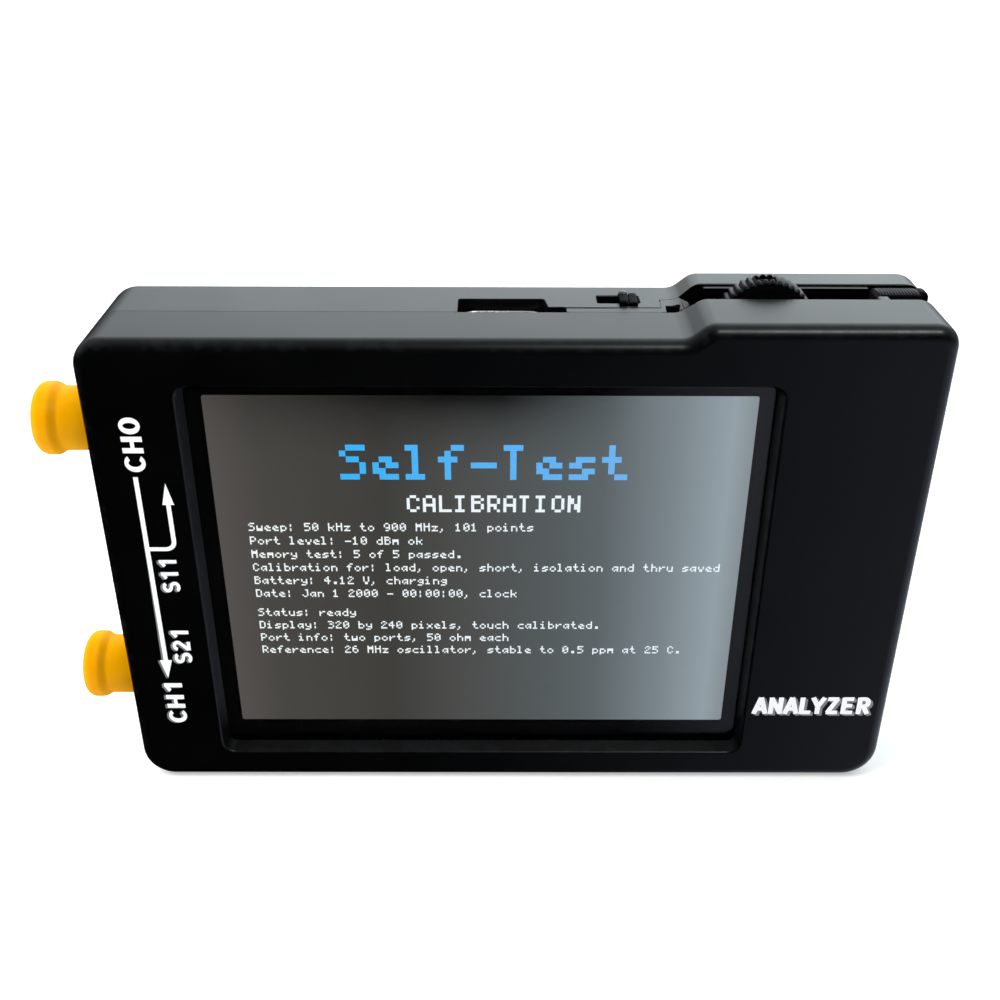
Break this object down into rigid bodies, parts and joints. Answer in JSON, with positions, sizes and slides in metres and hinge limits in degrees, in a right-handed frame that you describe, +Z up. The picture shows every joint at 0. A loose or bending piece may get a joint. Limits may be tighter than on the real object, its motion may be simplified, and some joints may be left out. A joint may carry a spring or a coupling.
{
  "type": "handheld vector network analyzer",
  "caption": "Pocket test instrument with a wide colour screen, threaded RF ports under push-on dust caps, a jog wheel, a slide power switch and a charging socket in a two-part plastic case.",
  "frame": {"origin": "on the bottom face of the front shell, below the middle of the case's width, 8 mm behind the screen side", "axes": "+X to the right as the screen is read, +Y from the screen to the back, +Z up to the side with the socket, the power switch and the jog wheel"},
  "size_m": [0.0988, 0.0176, 0.0618],
  "materials": {
    "case_plastic": "fine satin moulded ABS",
    "switch_plastic": "moulded, semi-gloss",
    "touch_film": "clear resistive film, slightly hazed",
    "display": "lit screen",
    "bright_steel": "bright plated sheet",
    "screw_steel": "zinc plated",
    "tin_plate": "tin plated",
    "gold_plate": "gold plated",
    "axle_metal": "turned",
    "dielectric": "white",
    "yellow_vinyl": "soft dipped vinyl, satin",
    "board": "dark solder mask",
    "chip_epoxy": "moulded epoxy",
    "polyimide": "flexible film",
    "foam": "foam",
    "battery_pouch": "laminated foil",
    "tape": "double-sided tape",
    "nylon": "natural nylon",
    "wire_red": "insulation",
    "wire_black": "insulation",
    "led_lens": "clear resin"
  },
  "bodies": {
    "case": {"front_shell": "case_plastic", "back_shell": "case_plastic", "touch_panel": "touch_film", "lcd_panel": "display", "lcd_frame": "bright_steel", "lcd_flex": "polyimide", "lcd_pad_0": "foam", "lcd_pad_1": "foam", "main_board": "board", "sma_body_0": "gold_plate", "sma_body_1": "gold_plate", "sma_insulator_0": "dielectric", "sma_insulator_1": "dielectric", "sma_pin_0": "gold_plate", "sma_pin_1": "gold_plate", "usb_shell": "bright_steel", "usb_tongue": "switch_plastic", "power_switch_body": "bright_steel", "wheel_switch_base": "switch_plastic", "push_dome": "bright_steel", "shield_can_0": "tin_plate", "shield_can_1": "tin_plate", "mcu": "chip_epoxy", "clock_chip": "chip_epoxy", "codec_chip": "chip_epoxy", "mixer_chip_0": "chip_epoxy", "mixer_chip_1": "chip_epoxy", "mixer_chip_2": "chip_epoxy", "crystal": "tin_plate", "charger_chip": "chip_epoxy", "regulator_chip": "chip_epoxy", "battery": "battery_pouch", "battery_tape": "tape", "battery_socket": "nylon", "battery_plug": "nylon", "battery_lead_red": "wire_red", "battery_lead_black": "wire_black", "case_screw_0": "screw_steel", "case_screw_1": "screw_steel", "case_screw_2": "screw_steel", "case_screw_3": "screw_steel", "charge_led": "led_lens", "power_led": "led_lens"},
    "wheel_slider": {"wheel_carrier": "switch_plastic", "wheel_axle": "axle_metal", "wheel_spring": "bright_steel"},
    "jog_wheel": {"thumbwheel": "switch_plastic"},
    "power_lever": {"power_switch_lever": "switch_plastic"},
    "cap_upper": {"dust_cap_0": "yellow_vinyl"},
    "cap_lower": {"dust_cap_1": "yellow_vinyl"}
  },
  "joints": [
    {"name": "wheel_push", "type": "slide", "parent": "case", "child": "wheel_slider", "axis": [0, 0, -1], "range_m": [0, 0.0005], "stiffness_N_per_m": 600, "springref_m": -0.0005},
    {"name": "wheel_tilt", "type": "hinge", "parent": "wheel_slider", "child": "jog_wheel", "pos_m": [0.0275, 0.0029, 0.0562], "axis": [0, 1, 0], "range_deg": [-15, 15], "stiffness_Nm_per_rad": 0.004},
    {"name": "power_slide", "type": "slide", "parent": "case", "child": "power_lever", "axis": [-1, 0, 0], "range_m": [0, 0.0023]},
    {"name": "cap_pull_upper", "type": "slide", "parent": "case", "child": "cap_upper", "axis": [-1, 0, 0], "range_m": [0, 0.01]},
    {"name": "cap_pull_lower", "type": "slide", "parent": "case", "child": "cap_lower", "axis": [-1, 0, 0], "range_m": [0, 0.01]}
  ]
}
